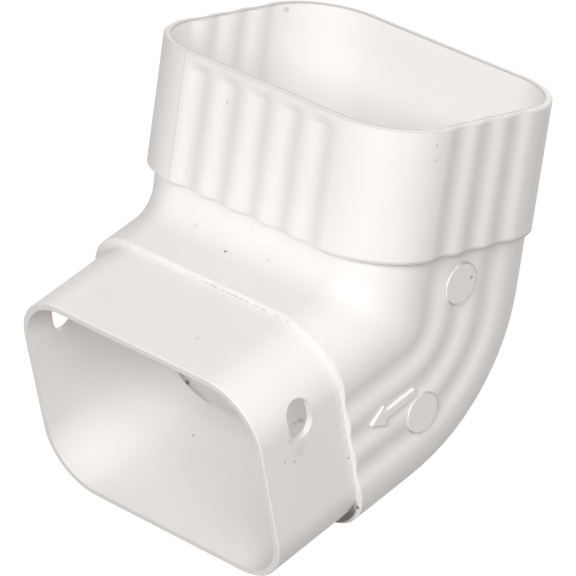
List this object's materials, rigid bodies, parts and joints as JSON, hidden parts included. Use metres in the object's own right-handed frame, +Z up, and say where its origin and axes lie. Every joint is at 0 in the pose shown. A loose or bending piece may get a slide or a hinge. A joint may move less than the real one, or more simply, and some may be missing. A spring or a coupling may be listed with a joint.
{
  "type": "downspout elbow",
  "caption": "Rectangular vinyl downspout elbow with a fluted socket above, a bent body and a plain spigot below that turns the water forwards.",
  "frame": {"origin": "centre of the socket's mouth, in the plane of its rim", "axes": "+Z up along the socket's axis, out of its mouth; -Y the way the spigot points; +X the wall with the flow arrow"},
  "size_m": [0.087, 0.1008, 0.1135],
  "materials": {
    "vinyl": "satin moulded white vinyl"
  },
  "bodies": {
    "root": {"elbow": "vinyl"}
  },
  "joints": []
}
